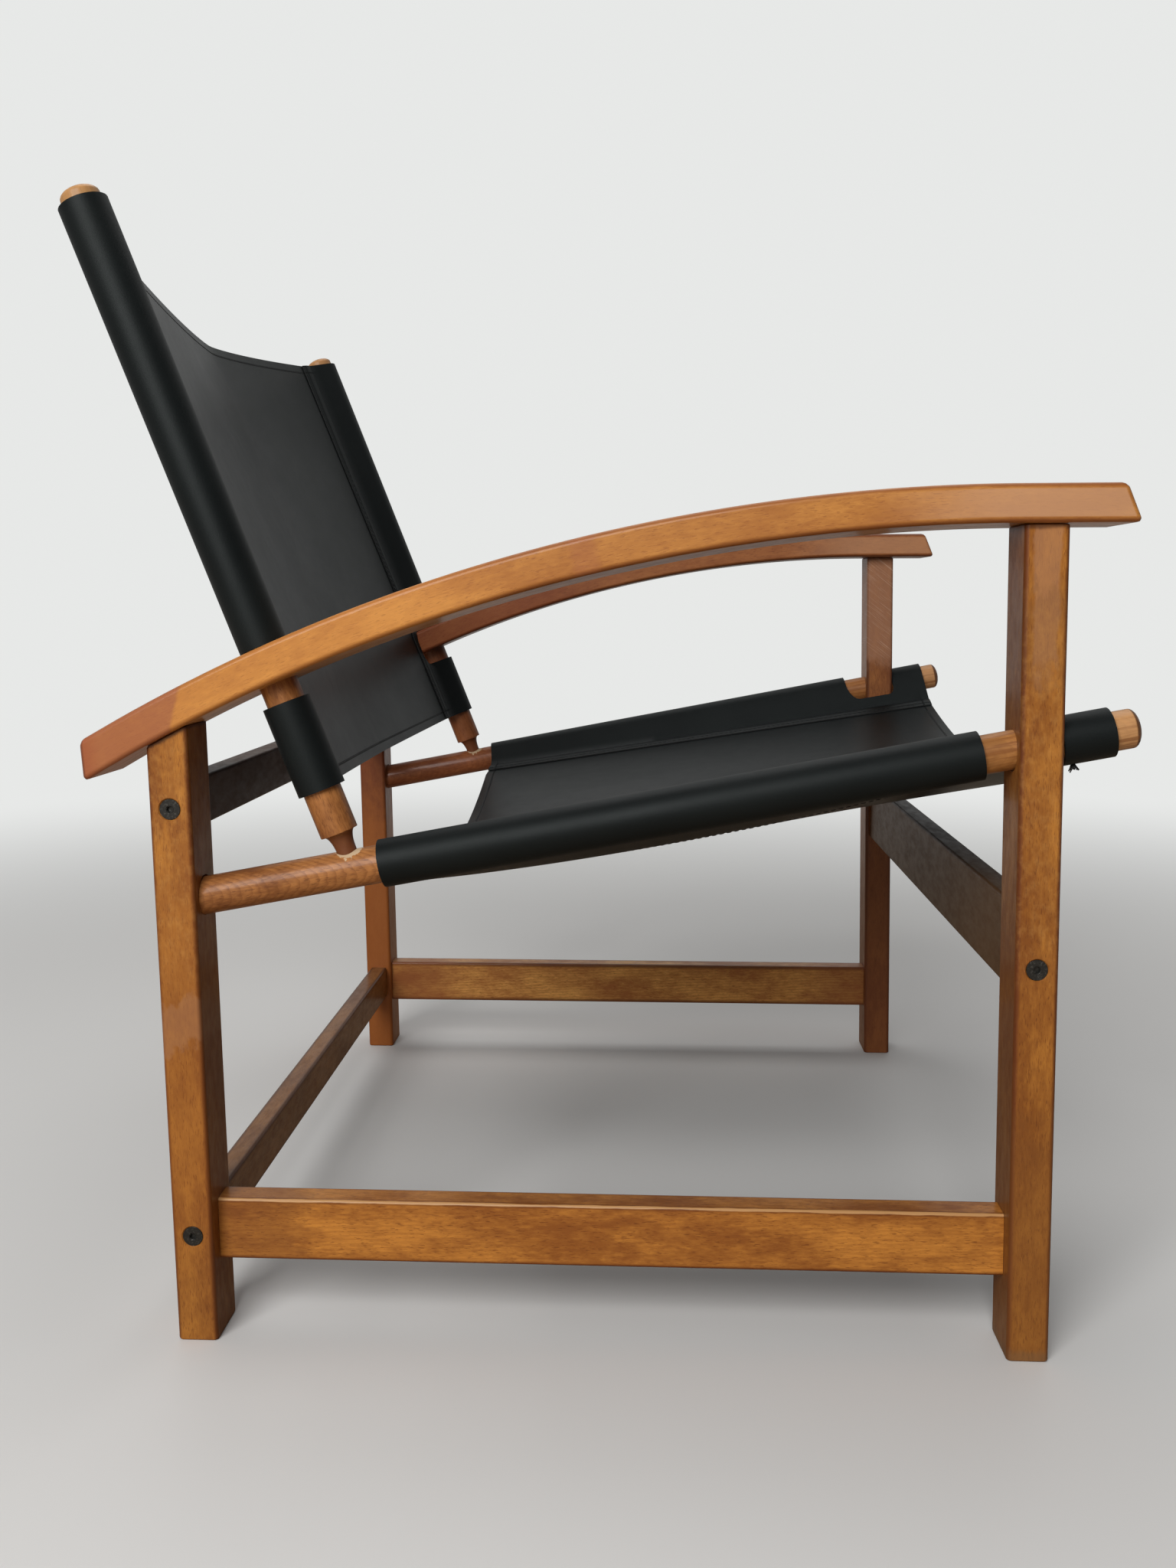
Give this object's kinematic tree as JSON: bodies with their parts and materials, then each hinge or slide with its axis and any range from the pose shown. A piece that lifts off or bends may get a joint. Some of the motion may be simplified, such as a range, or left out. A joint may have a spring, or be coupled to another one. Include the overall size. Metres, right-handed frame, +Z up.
{
  "type": "leather sling lounge chair",
  "caption": "Low lounge chair with a bolted wooden frame, bent arms and black leather slings stretched between round rods as seat and back.",
  "frame": {"origin": "on the floor, at the middle of the chair's overall width and depth", "axes": "+Z up, the chair faces -Y, the sitter's right-hand side is -X"},
  "size_m": [0.652, 0.7036, 0.7483],
  "materials": {
    "frame_wood": "satin lacquer over an orange-brown stain",
    "rod_wood": "satin lacquer",
    "leather": "satin black",
    "black_steel": "black oxide",
    "brass": "plain",
    "dowel_wood": "raw"
  },
  "bodies": {
    "root": {"front_leg_right": "frame_wood", "front_leg_left": "frame_wood", "rear_leg_right": "frame_wood", "rear_leg_left": "frame_wood", "arm_right": "frame_wood", "arm_left": "frame_wood", "side_stretcher_right": "frame_wood", "side_stretcher_left": "frame_wood", "front_rail": "frame_wood", "rear_upper_rail": "frame_wood", "rear_lower_rail": "frame_wood", "seat_rod_right": "rod_wood", "seat_rod_left": "rod_wood", "back_rod_right": "rod_wood", "back_rod_left": "rod_wood", "seat_sling": "leather", "back_sling": "leather", "front_bolt_right": "black_steel", "front_bolt_left": "black_steel", "rear_upper_bolt_right": "black_steel", "rear_upper_bolt_left": "black_steel", "rear_lower_bolt_right": "black_steel", "rear_lower_bolt_left": "black_steel", "front_bush_right": "brass", "front_bush_left": "brass", "rear_upper_bush_right": "brass", "rear_upper_bush_left": "brass", "rear_lower_bush_right": "brass", "rear_lower_bush_left": "brass", "arm_dowel_front_outer_right": "dowel_wood", "arm_dowel_front_inner_right": "dowel_wood", "arm_dowel_front_outer_left": "dowel_wood", "arm_dowel_front_inner_left": "dowel_wood", "arm_dowel_rear_outer_right": "dowel_wood", "arm_dowel_rear_inner_right": "dowel_wood", "arm_dowel_rear_outer_left": "dowel_wood", "arm_dowel_rear_inner_left": "dowel_wood", "stretcher_dowel_front_upper_right": "dowel_wood", "stretcher_dowel_front_lower_right": "dowel_wood", "stretcher_dowel_front_upper_left": "dowel_wood", "stretcher_dowel_front_lower_left": "dowel_wood", "stretcher_dowel_rear_upper_right": "dowel_wood", "stretcher_dowel_rear_lower_right": "dowel_wood", "stretcher_dowel_rear_upper_left": "dowel_wood", "stretcher_dowel_rear_lower_left": "dowel_wood", "front_dowel_upper_right": "dowel_wood", "front_dowel_upper_left": "dowel_wood", "rear_upper_dowel_upper_right": "dowel_wood", "rear_upper_dowel_lower_right": "dowel_wood", "rear_upper_dowel_upper_left": "dowel_wood", "rear_upper_dowel_lower_left": "dowel_wood", "rear_lower_dowel_upper_right": "dowel_wood", "rear_lower_dowel_lower_right": "dowel_wood", "rear_lower_dowel_upper_left": "dowel_wood", "rear_lower_dowel_lower_left": "dowel_wood"}
  },
  "joints": []
}
